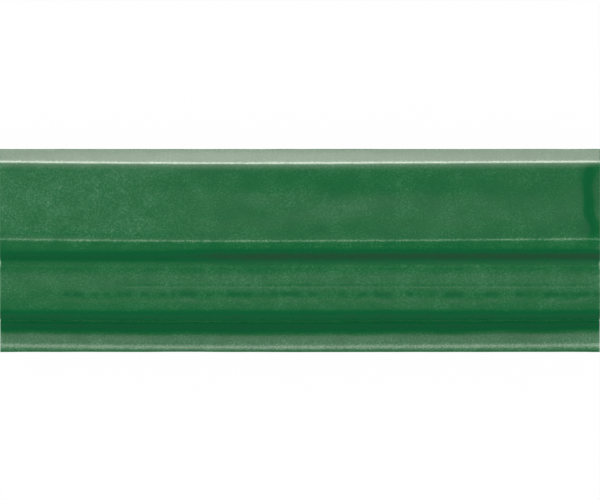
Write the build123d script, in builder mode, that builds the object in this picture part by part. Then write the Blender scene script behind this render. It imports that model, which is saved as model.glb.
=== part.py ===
from build123d import *
import math
import os

# A glazed ceramic moulding tile, one fired piece, that caps a tiled wall or runs along it as a rail.
# It lies on its back: X runs along it, +Y is the edge that goes up on the wall and +Z is its face.

# Overall sizes. The flat band takes up what the other members leave of the width.
tile_length = 150.0
tile_width = 50.8
band_thickness = 20.0

# Slope down to the upper edge, with a crisp arris where the band eases down to it
slope_width = 3.1
slope_fall = 1.9
slope_arris_radius = 1.0
ease_width = 2.0
ease_radius = 5.8
upper_edge_radius = 0.6

# Below the arris a brow turns gently down, and a nosing turns on round to the strip
arris_drop = 0.3
brow_width = 2.9
brow_radius = 16.0
nosing_radius = 2.1
nosing_slope = 60.0

# Narrow strip between the nosing and the ogee, with a soft corner and a fine step down at its edge
strip_width = 1.6
strip_corner_radius = 1.0
quirk_drop = 0.2

# Ogee: a crown that is nearly flat, a swell that turns down, a short steep run, and a hollow that
# turns out to the foot
crown_width = 10.4
crown_radius = 104.0
swell_radius = 3.0
ogee_slope = 78.0
ogee_steep_length = 2.0
hollow_radius = 3.0

# Foot, which rises a little to the rounded lower lip
foot_width = 4.75
foot_tilt = 8.0
lip_radius = 0.6

# Soft arrises at the two ends, and at the back
end_arris_radius = 0.35
back_chamfer = 0.5

# Keying grooves along the back, which the adhesive fills
groove_count = 3
groove_spacing = 15.0
groove_width = 8.0
groove_depth = 1.6
groove_side_slope = 65.0

upper_y = tile_width / 2
ease_turn = math.asin(ease_width / ease_radius)
ease_fall = ease_radius * (1 - math.cos(ease_turn))
brow_turn = math.asin(brow_width / brow_radius)
crown_half_turn = math.asin(crown_width / 2 / crown_radius)

# How far each turning member reaches across the tile
nosing_sine = math.sin(math.radians(nosing_slope))
nosing_run = nosing_radius * (nosing_sine - math.sin(brow_turn)) + strip_corner_radius * nosing_sine
ogee_sine = math.sin(math.radians(ogee_slope))
swell_run = swell_radius * (ogee_sine - math.sin(crown_half_turn))
hollow_run = hollow_radius * ogee_sine
ogee_run = swell_run + ogee_steep_length * math.cos(math.radians(ogee_slope)) + hollow_run
arris_y = foot_width + ogee_run + crown_width + strip_width + nosing_run + brow_width - upper_y


def heading(rise):
    """The direction along the section towards the foot, rising by that angle."""
    return (-math.cos(rise), math.sin(rise))


with BuildPart() as moulding_tile:
    with BuildSketch(Plane.YZ) as section:
        with BuildLine():
            back = Line((-upper_y, 0), (upper_y, 0))
            slope_top = (upper_y - slope_width, band_thickness - ease_fall)
            upper_edge = Line(back @ 1, (upper_y, slope_top[1] - slope_fall))
            slope = Line(upper_edge @ 1, slope_top)
            ease = JernArc(slope_top, heading(ease_turn), ease_radius, math.degrees(ease_turn))
            band = Line(ease @ 1, (arris_y, band_thickness))
            arris = Line(band @ 1, band @ 1 - (0, arris_drop))
            brow = JernArc(arris @ 1, heading(0), brow_radius, math.degrees(brow_turn))
            nosing_turn = nosing_slope - math.degrees(brow_turn)
            nosing = JernArc(brow @ 1, brow % 1, nosing_radius, nosing_turn)
            strip_corner = JernArc(nosing @ 1, nosing % 1, strip_corner_radius, -nosing_slope)
            strip = Line(strip_corner @ 1, strip_corner @ 1 - (strip_width, 0))
            quirk = Line(strip @ 1, strip @ 1 - (0, quirk_drop))
            crown = JernArc(
                quirk @ 1,
                heading(crown_half_turn),
                crown_radius,
                math.degrees(2 * crown_half_turn),
            )
            swell_turn = ogee_slope - math.degrees(crown_half_turn)
            swell = JernArc(crown @ 1, crown % 1, swell_radius, swell_turn)
            steep = Line(swell @ 1, swell @ 1 + (swell % 1) * ogee_steep_length)
            hollow = JernArc(steep @ 1, steep % 1, hollow_radius, -ogee_slope - foot_tilt)
            foot_rise = ((hollow @ 1).X + upper_y) * math.tan(math.radians(foot_tilt))
            foot = Line(hollow @ 1, (-upper_y, (hollow @ 1).Y + foot_rise))
            lower_edge = Line(foot @ 1, back @ 0)
        make_face()
        for corner, radius in (
            (slope @ 0, upper_edge_radius),
            (slope @ 1, slope_arris_radius),
            (foot @ 1, lip_radius),
        ):
            fillet(section.vertices().sort_by_distance(corner)[0], radius=radius)
        chamfer(section.vertices().group_by(Axis.Y)[0], length=back_chamfer)
        with GridLocations(groove_spacing, 1, groove_count, 1):
            Trapezoid(
                groove_width,
                groove_depth,
                groove_side_slope,
                align=(Align.CENTER, Align.MIN),
                mode=Mode.SUBTRACT,
            )
    extrude(amount=tile_length / 2, both=True)
    end_edges = moulding_tile.faces().filter_by(Axis.X).edges()
    fillet(
        end_edges.filter_by(lambda edge: edge.center().Z > groove_depth + back_chamfer),
        radius=end_arris_radius,
    )

os.makedirs("parts", exist_ok=True)
moulding_tile.part.label = "moulding_tile"
export_step(moulding_tile.part, "parts/moulding_tile.step")
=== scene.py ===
import bisect
import math

import bmesh
import bpy
from mathutils import Matrix, Vector, noise


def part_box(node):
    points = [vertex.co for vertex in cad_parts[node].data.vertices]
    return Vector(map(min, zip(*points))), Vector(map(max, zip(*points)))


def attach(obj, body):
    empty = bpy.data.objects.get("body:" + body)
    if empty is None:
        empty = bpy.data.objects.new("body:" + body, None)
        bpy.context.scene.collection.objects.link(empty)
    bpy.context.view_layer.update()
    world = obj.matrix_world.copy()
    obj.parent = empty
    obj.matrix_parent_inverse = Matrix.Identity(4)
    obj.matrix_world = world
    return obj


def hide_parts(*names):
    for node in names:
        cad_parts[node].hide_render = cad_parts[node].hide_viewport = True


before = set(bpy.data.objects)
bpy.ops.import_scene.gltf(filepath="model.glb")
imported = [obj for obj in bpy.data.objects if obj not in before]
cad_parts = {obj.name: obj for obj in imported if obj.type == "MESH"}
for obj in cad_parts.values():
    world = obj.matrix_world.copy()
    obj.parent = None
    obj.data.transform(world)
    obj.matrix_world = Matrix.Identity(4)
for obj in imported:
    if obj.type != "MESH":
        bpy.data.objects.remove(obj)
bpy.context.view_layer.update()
tile_low, tile_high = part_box("moulding_tile")

# The tile lies on its back: X runs along it, +Y is the edge that goes up on the wall and +Z is its face.
# The mesh is shaped in millimetres and brought to metres at the end.
MM = 0.001
LENGTH = (tile_high.x - tile_low.x) / MM
WIDTH = (tile_high.y - tile_low.y) / MM
BAND_HEIGHT = (tile_high.z - tile_low.z) / MM
UPPER_Y = WIDTH / 2
HALF_LENGTH = LENGTH / 2

# Members of the moulding, from the upper edge to the foot. They follow the CAD section, with the brow, the
# strip, the quirk and the lip as the fired glaze leaves them.
SLOPE_WIDTH = 3.1
SLOPE_FALL = 1.9
UPPER_EDGE_RADIUS = 0.6
EASE_WIDTH = 2.0
EASE_RADIUS = 5.8
ARRIS_RADIUS = 1.0
BROW_START = math.radians(3)
BROW_END = math.radians(9.5)
BROW_WIDTH = 2.9
NOSING_RADIUS = 2.1
NOSING_SLOPE = math.radians(60)
STRIP_CORNER_RADIUS = 1.0
STRIP_WIDTH = 1.6
STRIP_FALL = math.radians(2.5)
QUIRK_SLOPE = math.radians(6.5)
QUIRK_EDGE_WIDTH = 0.22
QUIRK_WIDTH = 2.0
CROWN_WIDTH = 10.4
CROWN_RISE = math.radians(2.7)
CROWN_FALL = math.radians(2.9)
SWELL_RADIUS = 3.0
OGEE_SLOPE = math.radians(78)
OGEE_STEEP_LENGTH = 2.0
HOLLOW_RADIUS = 3.0
FOOT_WIDTH = 4.75
FOOT_TILT = math.radians(8)
LIP_TILT = math.radians(16.5)
LIP_CREST_TILT = math.radians(3)
LIP_WIDTH = 2.3
LIP_RISE_SHARE = 0.4
LIP_EDGE_RADIUS = 0.25
END_ARRIS = 0.1
BACK_ARRIS_SHARE = 0.3
BACK_CHAMFER = 0.5
GROOVES = (-15.0, 0.0, 15.0)
GROOVE_WIDTH = 8.0
GROOVE_DEPTH = 1.6
GROOVE_RUN = GROOVE_DEPTH / math.tan(math.radians(65))

# Steps along the section and its arcs, stations near each end, cuts between them, and the grid of the ends
FINE = 0.22
MEDIUM = 0.4
WALL_STEP = 0.7
COARSE = 2.5
END_STATIONS = (0.03, 0.08, 0.15, 0.24, 0.4, 0.65, 0.9)
LONG_CUTS = 290
END_GRID = 0.6

# A vertex this close to a wall or an end counts as on it.
TOUCH = 0.01

# Glaze thickness, how far it runs down the walls and the ends, and how its lower edge wavers there: the
# height, wave length and seed of each waver, and the width over which the glaze gives out
GLAZE = 0.12
WALL_RUN = 11.0
END_RUN = 3.2
EDGE_WAVERS = ((1.0, 9.0, 2.5), (0.4, 2.6, 4.5))
EDGE_BLUR = 0.35

# Waves of the fired face: height, length along X, Y and Z, and seed. The whole face is sunk a little, so
# that they stay within the tile's size. All relief but the pool's calms down near the ends, to this share.
WAVES = (
    (0.03, (22, 9, 9), 3.1),
    (0.042, (7, 4.2, 4.2), 7.7),
)
WAVE_SINK = 0.04
CALM_WIDTH = 4.0
CALM_SHARE = 0.35

# A wave of this length is straight across the tile.
STRAIGHT = 900

# How the long lines of the face sag towards the middle of the tile. Each row is a line's place across the
# tile, how far it sags at the most, and how far up it is at the ends.
SAGS = (
    (25.4, 0.0, 0.0),
    (22.3, 0.36, -0.05),
    (2.7, 0.5, 0.16),
    (0.8, 0.0, 0.0),
    (-0.8, 0.0, 0.0),
    (-2.4, 0.25, -0.16),
    (-4.1, 0.2, 0.08),
    (-8.0, 0.0, 0.0),
    (-14.5, 0.0, 0.0),
    (-18.5, 0.4, 0.1),
    (-20.5, 0.62, 0.15),
    (-24.0, 0.46, 0.32),
    (-25.4, 0.0, 0.0),
)
SAG_SKEW = 0.756
SAG_SHARPNESS = 1.3

# The nosing lies further up on the right of the tile, and the hollow wanders a little: how far, the place
# across the tile, and the spread
NOSING_SHIFT = 0.5
NOSING_SHIFT_Y = -0.3
NOSING_SHIFT_SPREAD = 1.4
NOSING_SHIFT_SPAN = (-45, -15)
HOLLOW_WAVE = 0.3
HOLLOW_WAVE_LENGTH = 11
HOLLOW_WAVE_Y = -20.0
HOLLOW_WAVE_SPREAD = 1.8

# Relief and colour differ between the right of the tile and its left, and change over this stretch.
LEFT_SPAN = (-15, -45)

# The slope at the upper edge bulges by this much in its middle.
SLOPE_CROWN = 0.045

# The face dishes, most of all on the band and a little right of the tile's middle. The shares are what is
# left of its depth far from there, on the left of the tile, and below the band.
DISH_DEPTH = 0.42
DISH_X = 15
DISH_REACH = 28
DISH_LEAST = 0.42
DISH_LEFT_SHARE = 0.1
DISH_LOWER_SHARE = 0.6
DISH_WAVER = 0.35
DISH_WAVER_LENGTH = (10, 5, 5)
DISH_UPPER_SPAN = (21.4, 14)
DISH_BAND_SPAN = (3, 14)
DISH_LOWER_SPAN = (-20, -11)

# Fine seam along the crown, and below it a row of short dabs of deeper glaze in a groove that wavers
SEAM_Y = -8.93
SEAM_SPREAD = 0.34
SEAM_DEPTH = 0.043
SEAM_START = (-46, -42)
DAB_Y = -11.8
DAB_START = -61.0
DAB_LENGTH = 2.0
DAB_LEVELS = (-0.15, 0.2)
DAB_GROOVE_DEPTH = 0.09
DAB_GROOVE_SPREAD = 0.9
DAB_GROOVE_LEAST = 0.42
DAB_GROOVE_START = (-66, -56)
DAB_GROOVE_WAVER = 0.55
DAB_GROOVE_WAVER_LENGTH = 4

# The band sinks at its right end, where the glaze pools. The pool starts a little further right on the
# lower part of the band, and its upper span is measured down from where the band eases down.
POOL_X = 72.5
POOL_WIDTH = 4.2
POOL_FALL = 0.36
POOL_WAVER = 0.7
POOL_WAVER_LENGTH = 5
POOL_LOWER_SHIFT = 1.0
POOL_SHIFT_SPAN = (9, 4)
POOL_LOWER_SPAN = (-1, 1.5)
POOL_UPPER_SPAN = (0.3, 3)

# Depth of the glaze, where 0.5 is even: how much deeper it is in the pool and on the dabs, how much darker
# on the nosing from its left to its right, as painted shade on its steep face and deeper glaze in the
# corner below it, and how much paler on the left of the band, as painted sheen and thinner glaze. The
# band's spans are measured up from its lower arris and down from where it eases down.
EVEN_DEPTH = 0.5
POOL_DEPTH = 0.14
POOL_DEEPEST_X = 72.2
POOL_DEPTH_SPREAD = 1.7
BAND_LOWER_SPAN = (0.6, 2)
BAND_UPPER_SPAN = (0.2, 2)
LEFT_THINNING_AND_SHEEN = 0.045
DAB_DEPTH = 0.12
DAB_DEEPEST_Y = -10.9
DAB_DEPTH_SPREAD = 0.5
NOSING_POOL_AND_SHADE = (0.25, 0.47)
NOSING_DARKEST_Y = (-1.3, -1.65)
NOSING_DARK_SPREAD = 1.05
NOSING_DARK_SPAN = (-38, -12)

# The glaze is paler at the ends too, below the band and most of all under the nosing: thin glaze on the end
# arrises, and painted glints.
END_THINNING_AND_GLINT = 0.1
END_THINNING_WIDTH = 0.6
BELOW_BAND_SPAN = (1.5, -1)
NOSING_END_THINNING_AND_GLINT = 0.3
NOSING_END_WIDTH = 0.7
NOSING_END_Y = -2.9
NOSING_END_SPREAD = 1.0

# Where the glaze thins along the tile or, where the last number is negative, pools, and where light and
# shade are painted the same way: the place across the tile, its spread and how much of the glaze has run
# off, or how much paler it is painted
THINNED_AND_PAINTED_LIGHT = (
    # painted highlight on the rounded upper edge, and thin glaze there
    (25.3, 0.2, 0.12),
    # painted highlight along the slope's lower arris, and thin glaze there
    (22.25, 0.3, 0.37),
    (2.68, 0.28, 0.17),
    (-3.95, 0.15, 0.03),
    (-7.5, 4.0, 0.015),
    # painted shade under the swell, where it turns down
    (-16.6, 1.15, -0.32),
    # painted light on the steep wall below the swell, against its shade, and glaze run thin there
    (-17.5, 0.5, 0.25),
    (-18.9, 0.9, -0.3),
    # painted light on the foot, where the moulding shades it
    (-22.4, 1.7, 0.06),
    # painted highlight on the lip, and thin glaze on its roll
    (-24.1, 0.6, 0.165),
)

# Patterns of the glaze: its clouds, the cells of its crazing and how far and how often they bend, and the
# grain of its skin. The real cracks are hair fine and the real grain about 0.1 mm. Both are drawn coarser,
# so that they show.
CLOUD = 6.0
CLOUD_LEVEL = 0.2
CRAZE = 2.4
CRAZE_BEND = 1.2
CRAZE_BEND_LENGTH = 2.5
CRACK_SHARE = 0.07
CRACK_LEVEL = 0.1
GRAIN = 0.42
GRAIN_HEIGHT = 0.01
SPECKLE = 0.5

# Patterns of the bare clay. Its grit is drawn coarser than the real one too.
CLAY_MOTTLE = 4.0
CLAY_GRIT = 0.6
CLAY_GRIT_HEIGHT = 0.05

# Studio, in metres: the level of the ambient light, the share of the floor that is white by itself, and
# the tent. Its glow is given by the angle from overhead, in degrees, towards the tile's upper edge, and its
# light is warmer below the low angle.
AMBIENT = 0.88
FLOOR_WHITE = 0.98
FLOOR_HALF = 4.0
TENT_RADIUS = 1.2
TENT_HALF_LENGTH = 0.2
TENT_GLOW = (
    (-90, 0.12),
    (-78, 0.07),
    (-58, 0.03),
    (-40, 0.03),
    (-24, 0.05),
    (-12, 0.13),
    (-5, 0.26),
    (0, 0.39),
    (6, 0.66),
    (16, 1.23),
    (28, 2.3),
    (36, 3.2),
    (39, 9.4),
    (47, 9.4),
    (51, 8.2),
    (57, 6.9),
    (62, 6.0),
    (66, 5.7),
    (72, 5.8),
    (88, 5.8),
)
TENT_COLOUR = "#FFF2F2"
LOW_COLOUR = "#FFD0B8"
LOW_ANGLE = -50
FLAG_GLOW = 0.04
FLAG_GAP = 0.001
KEY_PLACE = Vector((-0.1, -0.15, 1.2))
KEY_SIZE = (0.9, 0.5)
KEY_ENERGY = 5.0

# Camera: how far it sees, in metres, the width of the tile that it takes in, in millimetres, and how many
# rows of the picture the tile's middle lies below the picture's
LENS = 1200.0
VIEW_DEPTH = 20.0
VIEW_WIDTH = 149.8
IMAGE_WIDTH = 600
ROWS_BELOW_MIDDLE = 0.5

ease_turn = math.asin(EASE_WIDTH / EASE_RADIUS)
brow_radius = BROW_WIDTH / (math.sin(BROW_END) - math.sin(BROW_START))
nosing_run = NOSING_RADIUS * (math.sin(NOSING_SLOPE) - math.sin(BROW_END))
swell_run = SWELL_RADIUS * (math.sin(OGEE_SLOPE) - math.sin(CROWN_FALL))
ogee_run = swell_run + OGEE_STEEP_LENGTH * math.cos(OGEE_SLOPE) + HOLLOW_RADIUS * math.sin(OGEE_SLOPE)
crown_y = FOOT_WIDTH - UPPER_Y + ogee_run
quirk_y = crown_y + CROWN_WIDTH
nosing_y = quirk_y + STRIP_WIDTH + STRIP_CORNER_RADIUS * math.sin(NOSING_SLOPE)
arris_y = nosing_y + nosing_run + BROW_WIDTH
ease_y = UPPER_Y - SLOPE_WIDTH
slope_middle = UPPER_Y - SLOPE_WIDTH / 2

# Ridges that run along the face or, where the height is negative, troughs: the place across the tile, the
# spread, and the height on its right and on its left
ridges = (
    (arris_y + 1.0, 0.9, -0.016, -0.08),
    (arris_y - 3.2, 1.2, 0.0, 0.05),
    (-9.4, 1.7, 0.03, 0.012),
)


def smooth(low, high, value):
    """0 below low, 1 above high, and a smooth step between them."""
    t = min(max((value - low) / (high - low), 0.0), 1.0)
    return t * t * (3 - 2 * t)


def hump(centre, spread, value):
    """A bell of height 1 at centre."""
    return math.exp(-(((value - centre) / spread) ** 2))


def blend(start, end, share):
    """start where share is 0, end where it is 1."""
    return start + (end - start) * share


class SectionPen:
    """Draws the section as a chain of edges, in millimetres, in the plane of one end of the tile."""

    def __init__(self, bm, x, y, z):
        self.bm = bm
        self.tip = bm.verts.new((x, y, z))
        self.heading = 0.0

    def line_to(self, y, z, step):
        start = self.tip.co.copy()
        run = Vector((0, y - start.y, z - start.z))
        self.heading = math.atan2(run.z, run.y)
        steps = math.ceil(run.length / step)
        for count in range(1, steps + 1):
            self.tip = bmesh.ops.extrude_vert_indiv(self.bm, verts=[self.tip])["verts"][0]
            self.tip.co = start + run * (count / steps)

    def forward(self, distance, step):
        y = self.tip.co.y + distance * math.cos(self.heading)
        z = self.tip.co.z + distance * math.sin(self.heading)
        self.line_to(y, z, step)

    def arc(self, radius, turn, step):
        """Goes on round an arc, to the left where turn is positive."""
        side = math.copysign(radius, turn)
        across = Vector((0, -math.sin(self.heading), math.cos(self.heading)))
        drawn = bmesh.ops.spin(
            self.bm,
            geom=[self.tip],
            cent=self.tip.co + across * side,
            axis=(1, 0, 0),
            angle=turn,
            steps=max(2, math.ceil(radius * abs(turn) / step)),
        )
        self.tip = next(part for part in drawn["geom_last"] if isinstance(part, bmesh.types.BMVert))
        self.heading += turn

    def arc_over(self, width, fall, new_fall, step):
        """An arc that reaches that far towards the foot, between two slopes; a rise is negative."""
        turn = new_fall - fall
        self.heading = math.pi + fall
        self.arc(abs(width / (math.sin(new_fall) - math.sin(fall))), turn, step)

    def corner(self, y, z, radius, heading, step):
        """A line towards a corner, and the arc that rounds it to the new heading."""
        to_corner = Vector((y - self.tip.co.y, z - self.tip.co.z))
        turn = heading - math.atan2(to_corner.y, to_corner.x)
        turn = (turn + math.pi) % (2 * math.pi) - math.pi
        set_back = radius * math.tan(abs(turn) / 2)
        share = 1 - set_back / to_corner.length
        self.line_to(
            self.tip.co.y + to_corner.x * share, self.tip.co.z + to_corner.y * share, step
        )
        self.arc(radius, turn, FINE)


def draw_section(bm, x):
    """The whole outline: up the upper edge, down over the face, and back along the bed and its grooves."""
    ease_fall = EASE_RADIUS * (1 - math.cos(ease_turn))
    slope_top_z = BAND_HEIGHT - ease_fall
    slope_heading = math.pi - math.atan2(SLOPE_FALL, SLOPE_WIDTH)
    pen = SectionPen(bm, x, UPPER_Y, BACK_CHAMFER)
    first = pen.tip
    pen.corner(UPPER_Y, slope_top_z - SLOPE_FALL, UPPER_EDGE_RADIUS, slope_heading, WALL_STEP)
    pen.line_to(ease_y, slope_top_z, MEDIUM)
    pen.arc_over(EASE_WIDTH, -ease_turn, 0, FINE)
    arris_width = ARRIS_RADIUS * math.sin(BROW_START)
    pen.line_to(arris_y + arris_width / 2, BAND_HEIGHT, MEDIUM)
    pen.heading = math.pi
    pen.arc(ARRIS_RADIUS, BROW_START, FINE / 4)
    pen.arc(brow_radius, BROW_END - BROW_START, FINE)
    pen.arc(NOSING_RADIUS, NOSING_SLOPE - BROW_END, FINE)
    pen.arc(STRIP_CORNER_RADIUS, STRIP_FALL - NOSING_SLOPE, FINE)
    pen.forward(pen.tip.co.y - quirk_y, FINE)
    pen.arc_over(QUIRK_EDGE_WIDTH, STRIP_FALL, QUIRK_SLOPE, FINE / 2)
    pen.arc_over(QUIRK_WIDTH, QUIRK_SLOPE, -CROWN_RISE, FINE)
    pen.arc_over(pen.tip.co.y - crown_y, -CROWN_RISE, CROWN_FALL, FINE)
    pen.arc(SWELL_RADIUS, OGEE_SLOPE - CROWN_FALL, FINE)
    pen.forward(OGEE_STEEP_LENGTH, FINE)
    pen.arc(HOLLOW_RADIUS, -OGEE_SLOPE - FOOT_TILT, FINE)
    pen.forward((pen.tip.co.y + UPPER_Y - LIP_WIDTH) / math.cos(FOOT_TILT), FINE)
    lip_rise = LIP_WIDTH * LIP_RISE_SHARE
    pen.arc_over(lip_rise, -FOOT_TILT, -LIP_TILT, FINE)
    pen.arc_over(LIP_WIDTH - lip_rise - LIP_EDGE_RADIUS, -LIP_TILT, -LIP_CREST_TILT, FINE)
    pen.arc(LIP_EDGE_RADIUS, math.pi / 2 + LIP_CREST_TILT, FINE / 2)
    pen.line_to(-UPPER_Y, BACK_CHAMFER, WALL_STEP)
    pen.line_to(BACK_CHAMFER - UPPER_Y, 0, COARSE)
    for centre in GROOVES:
        mouth = GROOVE_WIDTH / 2
        floor = mouth - GROOVE_RUN
        pen.line_to(centre - mouth, 0, COARSE)
        pen.line_to(centre - floor, GROOVE_DEPTH, COARSE)
        pen.line_to(centre + floor, GROOVE_DEPTH, COARSE)
        pen.line_to(centre + mouth, 0, COARSE)
    pen.line_to(UPPER_Y - BACK_CHAMFER, 0, COARSE)
    bmesh.ops.contextual_create(bm, geom=[pen.tip, first])


def extrude_section(bm):
    """Draws the section out to the tile's length, with close stations at the ends."""
    edges = bm.edges[:]
    drawn = bmesh.ops.extrude_edge_only(bm, edges=edges)["geom"]
    far = [part for part in drawn if isinstance(part, bmesh.types.BMVert)]
    bmesh.ops.translate(bm, verts=far, vec=(LENGTH, 0, 0))
    for station in END_STATIONS:
        for x in (station - HALF_LENGTH, HALF_LENGTH - station):
            bmesh.ops.bisect_plane(
                bm,
                geom=bm.verts[:] + bm.edges[:] + bm.faces[:],
                plane_co=(x, 0, 0),
                plane_no=(1, 0, 0),
            )
    inner = HALF_LENGTH - END_STATIONS[-1]
    long_edges = [e for e in bm.edges if abs(e.verts[0].co.x - e.verts[1].co.x) > inner]
    bmesh.ops.subdivide_edges(bm, edges=long_edges, cuts=LONG_CUTS, use_grid_fill=True)


def bow(x):
    """0 at the ends and 1 a little left of the middle of the tile, as the long lines sag."""
    along = min(max((x + HALF_LENGTH) / LENGTH, 0.0), 1.0)
    return math.sin(math.pi * along**SAG_SKEW) ** SAG_SHARPNESS


def member_sag(y):
    """How far a line at that place sags at the most, and how far up it is at the ends."""
    for (y1, sag1, rise1), (y2, sag2, rise2) in zip(SAGS, SAGS[1:]):
        if y >= y2:
            share = smooth(y2, y1, y)
            return blend(sag2, sag1, share), blend(rise2, rise1, share)
    return 0.0, 0.0


def ripple(point, scale, seed):
    """Smooth noise of about -1 to 1, with waves of that length in millimetres along X, Y and Z."""
    return noise.noise(Vector((point.x / scale[0], point.y / scale[1], point.z / scale[2] + seed)))


def dabs(point):
    """1 in the dabs along the crown, 0 between them and left of their start."""
    level = ripple(point, (DAB_LENGTH, STRAIGHT, STRAIGHT), 9.2)
    return smooth(*DAB_LEVELS, level) * smooth(DAB_START, DAB_START + 1, point.x)


def dish(point, left):
    """How deep the face is dished, which on the left of the tile is little."""
    along = blend(DISH_LEAST, 1, hump(DISH_X, DISH_REACH, point.x)) * blend(1, DISH_LEFT_SHARE, left)
    along *= 1 + DISH_WAVER * ripple(point, DISH_WAVER_LENGTH, 12.3)
    across = smooth(*DISH_UPPER_SPAN, point.y) * smooth(*DISH_LOWER_SPAN, point.y)
    across *= blend(DISH_LOWER_SHARE, 1, smooth(*DISH_BAND_SPAN, point.y))
    return DISH_DEPTH * along * across


def face_relief(point):
    """How far the glazed face stands out of its true section, in millimetres: the waves of the fired glaze,
    the bulge of the slope, the ridges and troughs, the dish, and the seam and the groove on the crown."""
    x, y = point.x, point.y
    left = smooth(*LEFT_SPAN, x)
    height = -WAVE_SINK
    for wave_height, length, seed in WAVES:
        height += wave_height * ripple(point, length, seed)
    height += SLOPE_CROWN * max(1 - ((y - slope_middle) / (SLOPE_WIDTH / 2)) ** 2, 0)
    for place, spread, on_right, on_left in ridges:
        height += blend(on_right, on_left, left) * hump(place, spread, y)
    height -= dish(point, left)
    height -= SEAM_DEPTH * smooth(*SEAM_START, x) * hump(SEAM_Y, SEAM_SPREAD, y)
    waver = ripple(point, (DAB_GROOVE_WAVER_LENGTH, STRAIGHT, STRAIGHT), 5.5)
    groove = hump(DAB_Y + DAB_GROOVE_WAVER * waver, DAB_GROOVE_SPREAD, y) * smooth(*DAB_GROOVE_START, x)
    height -= DAB_GROOVE_DEPTH * blend(DAB_GROOVE_LEAST, 1, dabs(point)) * groove
    return height


def pool_fall(point):
    """How far the band sinks to its right end, where the glaze has pooled."""
    x, y = point.x, point.y
    middle = POOL_X + POOL_WAVER * ripple(point, (STRAIGHT, POOL_WAVER_LENGTH, POOL_WAVER_LENGTH), 1.7)
    middle += POOL_LOWER_SHIFT * smooth(*POOL_SHIFT_SPAN, y)
    on_band = smooth(*POOL_LOWER_SPAN, y)
    on_band *= smooth(ease_y - POOL_UPPER_SPAN[0], ease_y - POOL_UPPER_SPAN[1], y)
    return POOL_FALL * on_band * smooth(middle - POOL_WIDTH / 2, middle + POOL_WIDTH / 2, x)


def glaze_depth_and_painted_light(point, to_end):
    """How thick the glaze lies, with painted light and shade in it: 0.5 is even, towards 0 paler, as glaze
    run off an arris down to the clay and as painted highlight and light, towards 1 darker, as a deep pool
    and as painted shade.
    """
    x, y = point.x, point.y
    depth_and_light = EVEN_DEPTH
    # some rows of the table paint highlights, light and shade into the colour
    for place, spread, amount in THINNED_AND_PAINTED_LIGHT:
        depth_and_light -= amount * hump(place, spread, y)
    on_band = smooth(arris_y + BAND_LOWER_SPAN[0], arris_y + BAND_LOWER_SPAN[1], y)
    on_band *= smooth(ease_y - BAND_UPPER_SPAN[0], ease_y - BAND_UPPER_SPAN[1], y)
    depth_and_light += POOL_DEPTH * hump(POOL_DEEPEST_X, POOL_DEPTH_SPREAD, x) * on_band
    # painted sheen: the band is paler on the left of the tile, with thinner glaze
    depth_and_light -= LEFT_THINNING_AND_SHEEN * smooth(*LEFT_SPAN, x) * on_band
    depth_and_light += DAB_DEPTH * dabs(point) * hump(DAB_DEEPEST_Y, DAB_DEPTH_SPREAD, y)
    right = smooth(*NOSING_DARK_SPAN, x)
    # painted shade on the nosing's steep face, with deeper glaze in the corner below it
    depth_and_light += blend(*NOSING_POOL_AND_SHADE, right) * hump(blend(*NOSING_DARKEST_Y, right), NOSING_DARK_SPREAD, y)
    # painted glints on the ends, as well as thin glaze on the end arrises
    depth_and_light -= END_THINNING_AND_GLINT * smooth(END_THINNING_WIDTH, 0.0, to_end) * smooth(*BELOW_BAND_SPAN, y)
    under_nosing = hump(NOSING_END_Y, NOSING_END_SPREAD, y)
    depth_and_light -= NOSING_END_THINNING_AND_GLINT * smooth(NOSING_END_WIDTH, 0.0, to_end) * under_nosing
    return depth_and_light


def glaze_cover(below, point):
    """1 where the glaze covers a wall or an end, falling to 0 under its uneven lower edge."""
    along = Vector((point.x, point.y, 0))
    edge = END_RUN if abs(point.x) > HALF_LENGTH - TOUCH else WALL_RUN
    for height, length, seed in EDGE_WAVERS:
        edge += height * ripple(along, (length, length, length), seed)
    return smooth(edge + EDGE_BLUR, edge - EDGE_BLUR, below)


def cap_ends(bm):
    """Closes both ends, cuts them into a grid of small faces, and gives the vertices inside them."""
    rims = [e for e in bm.edges if e.is_boundary]
    caps = bmesh.ops.holes_fill(bm, edges=rims, sides=0)["faces"]
    lines = int(WIDTH / END_GRID)
    for normal, start in (((0, 1, 0), -UPPER_Y), ((0, 0, 1), 0.0)):
        for line in range(1, lines):
            place = Vector(normal) * (start + line * END_GRID)
            edges = {e for f in caps for e in f.edges}
            verts = {v for f in caps for v in f.verts}
            cut = bmesh.ops.bisect_plane(
                bm, geom=list(verts) + list(edges) + caps, plane_co=place, plane_no=normal
            )["geom"]
            caps = [part for part in cut if isinstance(part, bmesh.types.BMFace)]
            if place.z > BAND_HEIGHT:
                break
    return {v for f in caps for v in f.verts if all(n in caps for n in v.link_faces)}


def top_at(outline, y):
    """The height of the face at that place across the tile."""
    index = min(max(bisect.bisect(outline, (y, 0)), 1), len(outline) - 1)
    (y1, z1), (y2, z2) = outline[index - 1], outline[index]
    share = min(max((y - y1) / max(y2 - y1, 1e-6), 0), 1)
    return blend(z1, z2, share)


def end_inset(to_end):
    """How far the soft arris at an end stands back, which is nothing past its radius."""
    if to_end >= END_ARRIS:
        return 0.0
    return END_ARRIS - math.sqrt(max(END_ARRIS**2 - (END_ARRIS - to_end) ** 2, 0))


def stray(point, face_share):
    """How far the lines of the face stray across the tile, in millimetres up the wall."""
    sag, rise = member_sag(point.y)
    nosing = smooth(*NOSING_SHIFT_SPAN, point.x) * hump(NOSING_SHIFT_Y, NOSING_SHIFT_SPREAD, point.y)
    wave = ripple(point, (HOLLOW_WAVE_LENGTH, STRAIGHT, STRAIGHT), 6.1)
    hollow = wave * hump(HOLLOW_WAVE_Y, HOLLOW_WAVE_SPREAD, point.y)
    return (rise - sag * bow(point.x)) * face_share + NOSING_SHIFT * nosing + HOLLOW_WAVE * hollow


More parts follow.
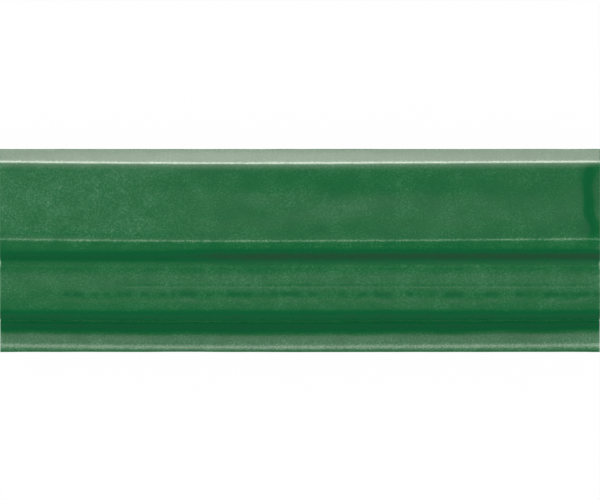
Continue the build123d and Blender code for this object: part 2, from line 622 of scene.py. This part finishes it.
def shape_tile():
    """The glazed piece: its section drawn out, its lines and face as they come from the kiln, and the step
    at the glaze's lower edge on its walls and ends."""
    bm = bmesh.new()
    draw_section(bm, -HALF_LENGTH)
    outline = sorted((v.co.y, v.co.z) for v in bm.verts if v.co.z > BACK_CHAMFER + GROOVE_DEPTH)
    # the depth also carries painted light and shade
    depth_and_light_layer = bm.verts.layers.float.new("glaze_depth_and_painted_light")
    covers = bm.verts.layers.float.new("glaze_cover")
    extrude_section(bm)
    bmesh.ops.recalc_face_normals(bm, faces=bm.faces)
    bm.normal_update()
    for vert in bm.verts:
        point = vert.co.copy()
        normal = vert.normal.copy()
        to_end = HALF_LENGTH - abs(point.x)
        on_wall = abs(point.y) > UPPER_Y - TOUCH
        in_back = point.z < GROOVE_DEPTH + TOUCH and not on_wall
        face_share = 0.0 if in_back else smooth(BACK_CHAMFER, BACK_CHAMFER + 2, point.z)
        below = max(top_at(outline, point.y) - point.z, 0.0) if on_wall else 0.0
        cover = glaze_cover(below, point) if face_share else 0.0
        vert[covers] = cover
        vert[depth_and_light_layer] = glaze_depth_and_painted_light(point, to_end)
        calm = blend(CALM_SHARE, 1, smooth(0, CALM_WIDTH, to_end))
        height = (face_relief(point) * calm - pool_fall(point)) * face_share
        height -= GLAZE * (1 - cover)
        height -= end_inset(to_end) * (1 if face_share else BACK_ARRIS_SHARE)
        vert.co.y += stray(point, face_share)
        vert.co += normal * height
    inside = cap_ends(bm)
    for vert in bm.verts:
        if abs(vert.co.x) > HALF_LENGTH - TOUCH:
            below = max(top_at(outline, vert.co.y) - END_ARRIS - vert.co.z, 0.0)
            vert[covers] = glaze_cover(below, vert.co)
            vert[depth_and_light_layer] = EVEN_DEPTH
    for vert in inside:
        vert.co.x -= math.copysign(GLAZE * (1 - vert[covers]), vert.co.x)
    for face in bm.faces:
        face.material_index = 0 if any(v[covers] for v in face.verts) else 1
    bmesh.ops.recalc_face_normals(bm, faces=bm.faces)
    bmesh.ops.scale(bm, verts=bm.verts, vec=(MM, MM, MM))
    return bm


def finish_piece(bm, name, materials):
    """Turns the shape into an object with these materials, shaded smooth."""
    mesh = bpy.data.meshes.new(name)
    bm.to_mesh(mesh)
    bm.free()
    for material in materials:
        mesh.materials.append(material)
    mesh.shade_smooth()
    piece = bpy.data.objects.new(name, mesh)
    bpy.context.scene.collection.objects.link(piece)
    return piece


def linear(code):
    """An sRGB hex colour as linear RGBA."""
    channels = [int(code[i : i + 2], 16) / 255 for i in (1, 3, 5)]
    return (*(c / 12.92 if c <= 0.04045 else ((c + 0.055) / 1.055) ** 2.4 for c in channels), 1.0)


def add(tree, kind, sockets=None, **settings):
    """Adds a shader node, with its settings, and with its sockets set to values or linked to outputs."""
    node = tree.nodes.new(kind)
    for name, value in settings.items():
        setattr(node, name, value)
    for key, value in (sockets or {}).items():
        if isinstance(value, bpy.types.NodeSocket):
            tree.links.new(value, node.inputs[key])
        else:
            node.inputs[key].default_value = value
    return node


def colour_stops(ramp, stops):
    """Sets a colour ramp's stops from (place, hex colour) pairs."""
    elements = ramp.color_ramp.elements
    while len(elements) < len(stops):
        elements.new(0.5)
    for element, (place, code) in zip(elements, stops):
        element.position = place
        element.color = linear(code)


def new_material(name):
    """An empty material and its node tree."""
    material = bpy.data.materials.new(name)
    material.use_nodes = True
    material.node_tree.nodes.clear()
    return material, material.node_tree


def green_gloss_glaze():
    """Copper-green gloss glaze on cream earthenware, dipped and fired: deep where it pools, pale where it
    thins on an arris, with faint clouds, hair crazing and a slightly rippled, glassy skin. The same depth
    also carries painted light and shade: painted highlights and light on the upper edge, the slope's arris,
    the foot, the lip and the ends, painted sheen on the left of the band, and painted shade on the nosing
    and under the swell."""
    material, tree = new_material("green_gloss_glaze")
    coordinates = add(tree, "ShaderNodeTexCoord").outputs
    place = coordinates["Object"]
    # the depth carries painted highlights, light and shade as well as the glaze's thickness
    depth_and_light = add(tree, "ShaderNodeAttribute", attribute_name="glaze_depth_and_painted_light").outputs["Fac"]
    cover = add(tree, "ShaderNodeAttribute", attribute_name="glaze_cover").outputs["Fac"]
    clouds = add(
        tree,
        "ShaderNodeTexNoise",
        {"Vector": place, "Scale": 1 / (CLOUD * MM), "Detail": 3.0, "Roughness": 0.55},
    ).outputs["Fac"]
    grain = add(
        tree,
        "ShaderNodeTexNoise",
        {"Vector": place, "Scale": 1 / (GRAIN * MM), "Detail": 3.0, "Roughness": 0.7},
    ).outputs["Fac"]
    upward = add(tree, "ShaderNodeSeparateXYZ", {0: coordinates["Normal"]}).outputs["Z"]
    # The grain fades on the steep walls, where the glaze has run smooth.
    strength = add(
        tree,
        "ShaderNodeMapRange",
        {"Value": upward, "From Min": 0.2, "From Max": 0.7, "To Min": 0.15, "To Max": 1.0},
    ).outputs["Result"]
    centred = add(tree, "ShaderNodeMath", {0: grain, 1: -0.5}, operation="ADD").outputs[0]
    skin = add(tree, "ShaderNodeMath", {0: centred, 1: strength}, operation="MULTIPLY").outputs[0]
    cloud = add(tree, "ShaderNodeMath", {0: clouds, 1: -0.5}, operation="ADD").outputs[0]
    cloudy = add(
        tree, "ShaderNodeMath", {0: cloud, 1: CLOUD_LEVEL, 2: depth_and_light}, operation="MULTIPLY_ADD"
    ).outputs[0]
    mottled = add(
        tree, "ShaderNodeMath", {0: skin, 1: SPECKLE, 2: cloudy}, operation="MULTIPLY_ADD"
    ).outputs[0]
    # From the pale glaze of a bare arris, over the even depth at 0.5, to the brownish green of a deep pool.
    # The pale end also gives the painted highlights and light, and the deep end the painted shade.
    body = add(tree, "ShaderNodeValToRGB", {"Fac": mottled})
    stops = [
        (0.0, "#B9CBB8"),
        (0.2, "#7A9F80"),
        (0.4, "#2C6D45"),
        (0.5, "#115E32"),
        (0.62, "#09572F"),
        (0.75, "#0B5833"),
        (1.0, "#204B31"),
    ]
    colour_stops(body, stops)
    warp = add(
        tree,
        "ShaderNodeTexNoise",
        {"Vector": place, "Scale": 1 / (CRAZE_BEND_LENGTH * MM), "Detail": 2.0},
    ).outputs["Color"]
    bent = add(
        tree,
        "ShaderNodeVectorMath",
        {0: warp, 1: [CRAZE_BEND * MM] * 3, 2: place},
        operation="MULTIPLY_ADD",
    ).outputs[0]
    crazing = add(
        tree,
        "ShaderNodeTexVoronoi",
        {"Vector": bent, "Scale": 1 / (CRAZE * MM)},
        feature="DISTANCE_TO_EDGE",
    ).outputs["Distance"]
    hair = add(
        tree,
        "ShaderNodeMapRange",
        {"Value": crazing, "From Max": CRACK_SHARE, "To Min": CRACK_LEVEL, "To Max": 0.0},
    ).outputs["Result"]
    crazed = add(
        tree,
        "ShaderNodeMix",
        {"Factor": hair, 6: body.outputs["Color"], 7: linear("#0A4427")},
        data_type="RGBA",
    ).outputs[2]
    biscuit = biscuit_colour(tree, place)
    covered = add(
        tree,
        "ShaderNodeMapRange",
        {"Value": cover, "From Min": 0.25, "From Max": 0.6},
    ).outputs["Result"]
    shown = add(
        tree, "ShaderNodeMix", {"Factor": covered, 6: biscuit, 7: crazed}, data_type="RGBA"
    ).outputs[2]
    gloss = add(
        tree, "ShaderNodeMapRange", {"Value": covered, "To Min": 0.8, "To Max": 0.09}
    ).outputs["Result"]
    bump = add(
        tree, "ShaderNodeBump", {"Height": skin, "Distance": GRAIN_HEIGHT * MM, "Strength": 1.0}
    )
    shader = add(
        tree,
        "ShaderNodeBsdfPrincipled",
        {"Base Color": shown, "Roughness": gloss, "IOR": 1.52, "Normal": bump.outputs["Normal"]},
    )
    add(tree, "ShaderNodeOutputMaterial", {"Surface": shader.outputs["BSDF"]})
    return material


def biscuit_colour(tree, place):
    """The bare fired clay: cream, with a slight mottle."""
    mottle = add(
        tree, "ShaderNodeTexNoise", {"Vector": place, "Scale": 1 / (CLAY_MOTTLE * MM), "Detail": 4.0}
    ).outputs["Fac"]
    clay = add(tree, "ShaderNodeValToRGB", {"Fac": mottle})
    colour_stops(clay, [(0.3, "#D8CDB8"), (0.7, "#E6DECB")])
    return clay.outputs["Color"]


def bare_biscuit():
    """Cream earthenware biscuit, dust pressed and left unglazed: matt, chalky and faintly gritty."""
    material, tree = new_material("bare_biscuit")
    place = add(tree, "ShaderNodeTexCoord").outputs["Object"]
    grit = add(
        tree, "ShaderNodeTexNoise", {"Vector": place, "Scale": 1 / (CLAY_GRIT * MM), "Detail": 4.0}
    ).outputs["Fac"]
    bump = add(
        tree, "ShaderNodeBump", {"Height": grit, "Distance": CLAY_GRIT_HEIGHT * MM, "Strength": 1.0}
    )
    shader = add(
        tree,
        "ShaderNodeBsdfPrincipled",
        {
            "Base Color": biscuit_colour(tree, place),
            "Roughness": 0.85,
            "IOR": 1.5,
            "Normal": bump.outputs["Normal"],
        },
    )
    add(tree, "ShaderNodeOutputMaterial", {"Surface": shader.outputs["BSDF"]})
    return material


def seen_directly(tree):
    """1 on camera, glossy and transmission rays, 0 on the rest."""
    path = add(tree, "ShaderNodeLightPath").outputs
    seen = add(
        tree, "ShaderNodeMath", {0: path["Is Camera Ray"], 1: path["Is Glossy Ray"]}, operation="MAXIMUM"
    ).outputs[0]
    return add(
        tree, "ShaderNodeMath", {0: seen, 1: path["Is Transmission Ray"]}, operation="MAXIMUM"
    ).outputs[0]


def make_floor():
    """A plain white floor, part lit and part white by itself, so that it keeps a faint shadow."""
    bm = bmesh.new()
    bmesh.ops.create_grid(bm, x_segments=1, y_segments=1, size=FLOOR_HALF)
    floor = finish_piece(bm, "floor", [])
    material, tree = new_material("white_floor")
    lit = add(tree, "ShaderNodeBsdfDiffuse", {"Color": linear("#E8E8E8")})
    white = add(tree, "ShaderNodeEmission", {"Color": linear("#FFFFFF"), "Strength": 1.0})
    share = add(
        tree, "ShaderNodeMath", {0: seen_directly(tree), 1: FLOOR_WHITE}, operation="MULTIPLY"
    ).outputs[0]
    mixed = add(
        tree, "ShaderNodeMixShader", {0: share, 1: lit.outputs[0], 2: white.outputs[0]}
    )
    add(tree, "ShaderNodeOutputMaterial", {"Surface": mixed.outputs[0]})
    floor.data.materials.append(material)


def make_world():
    """A plain white ambient, a little dimmer on the tile than the background that the camera sees."""
    world = bpy.data.worlds.new("studio")
    bpy.context.scene.world = world
    world.use_nodes = True
    tree = world.node_tree
    tree.nodes.clear()
    strength = add(
        tree,
        "ShaderNodeMapRange",
        {"Value": seen_directly(tree), "To Min": AMBIENT, "To Max": 1.0},
    ).outputs["Result"]
    sky = add(tree, "ShaderNodeBackground", {"Color": linear("#FFFFFF"), "Strength": strength})
    add(tree, "ShaderNodeOutputWorld", {"Surface": sky.outputs[0]})


def make_reflector():
    """A half round light tent over the tile that only shows in the gloss. Its glow is dim overhead, dark
    on the foot's side and bright on the upper edge's side, so that each slope of the moulding shows."""
    bm = bmesh.new()
    half = TENT_HALF_LENGTH
    ends = [bm.verts.new((x, TENT_RADIUS, 0)) for x in (-half, half)]
    edge = bm.edges.new(ends)
    bmesh.ops.spin(
        bm, geom=ends + [edge], cent=(0, 0, 0), axis=(1, 0, 0), angle=math.pi, steps=64
    )
    tent = finish_piece(bm, "tent", [])
    material, tree = new_material("tent_glow")
    place = add(tree, "ShaderNodeTexCoord").outputs["Object"]
    parts = add(tree, "ShaderNodeSeparateXYZ", {0: place}).outputs
    lean = add(tree, "ShaderNodeMath", {0: parts["Y"], 1: parts["Z"]}, operation="ARCTAN2").outputs[0]
    share = add(
        tree,
        "ShaderNodeMapRange",
        {"Value": lean, "From Min": -math.pi / 2, "From Max": math.pi / 2},
    ).outputs["Result"]
    glow = add(tree, "ShaderNodeValToRGB", {"Fac": share})
    elements = glow.color_ramp.elements
    while len(elements) < len(TENT_GLOW):
        elements.new(0.5)
    brightest = max(level for _, level in TENT_GLOW)
    for element, (angle, level) in zip(elements, TENT_GLOW):
        element.position = (angle + 90) / 180
        tint = linear(LOW_COLOUR if angle < LOW_ANGLE else TENT_COLOUR)
        element.color = [channel * level / brightest for channel in tint[:3]] + [1]
    light = add(
        tree, "ShaderNodeEmission", {"Color": glow.outputs["Color"], "Strength": brightest}
    )
    add(tree, "ShaderNodeOutputMaterial", {"Surface": light.outputs[0]})
    tent.data.materials.append(material)
    tent.visible_camera = False
    tent.visible_diffuse = False
    tent.visible_shadow = False
    tent.visible_transmission = False


def make_flag():
    """A dark sheet on the floor on the foot's side, and one at each end of the tent. Only reflections
    see them: they keep the white floor and background out of the gloss of the hollow and the ends."""
    bm = bmesh.new()
    middle = -(UPPER_Y * MM + FLAG_GAP + TENT_RADIUS / 2)
    bmesh.ops.create_grid(
        bm, size=TENT_RADIUS / 2, matrix=Matrix.Translation((0, middle, FLAG_GAP / 4))
    )
    for x in (-TENT_HALF_LENGTH, TENT_HALF_LENGTH):
        upright = Matrix.Translation((x, 0, 0)) @ Matrix.Rotation(math.pi / 2, 4, "Y")
        bmesh.ops.create_grid(bm, size=TENT_RADIUS, matrix=upright)
    flag = finish_piece(bm, "flag", [])
    material, tree = new_material("dark_flag")
    glow = add(tree, "ShaderNodeEmission", {"Color": linear("#FFE0D6"), "Strength": FLAG_GLOW})
    add(tree, "ShaderNodeOutputMaterial", {"Surface": glow.outputs[0]})
    flag.data.materials.append(material)
    flag.visible_camera = False
    flag.visible_diffuse = False
    flag.visible_shadow = False
    flag.visible_transmission = False


def make_key_light():
    """A large soft lamp overhead, a little to the foot's side, for the shading and a faint shadow."""
    data = bpy.data.lights.new("key", "AREA")
    data.shape = "RECTANGLE"
    data.size, data.size_y = KEY_SIZE
    data.energy = KEY_ENERGY
    key = bpy.data.objects.new("key", data)
    key.location = KEY_PLACE
    key.rotation_euler = (-key.location).to_track_quat("-Z", "Y").to_euler()
    key.visible_camera = False
    key.visible_glossy = False
    bpy.context.scene.collection.objects.link(key)


def make_camera():
    """Straight above the tile, with a long lens: the tile's length fills the width of the picture."""
    data = bpy.data.cameras.new("camera")
    data.lens = LENS
    data.clip_end = VIEW_DEPTH
    camera = bpy.data.objects.new("camera", data)
    distance = VIEW_WIDTH * MM * LENS / data.sensor_width
    rise = ROWS_BELOW_MIDDLE * VIEW_WIDTH / IMAGE_WIDTH * MM
    camera.location = (0, rise, BAND_HEIGHT * MM + distance)
    bpy.context.scene.collection.objects.link(camera)
    bpy.context.scene.camera = camera


bpy.context.scene.view_settings.view_transform = "Standard"
make_world()
make_floor()
make_reflector()
make_flag()
make_key_light()
make_camera()

glazed = finish_piece(shape_tile(), "glazed_moulding", [green_gloss_glaze(), bare_biscuit()])
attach(glazed, "root")
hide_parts("moulding_tile")
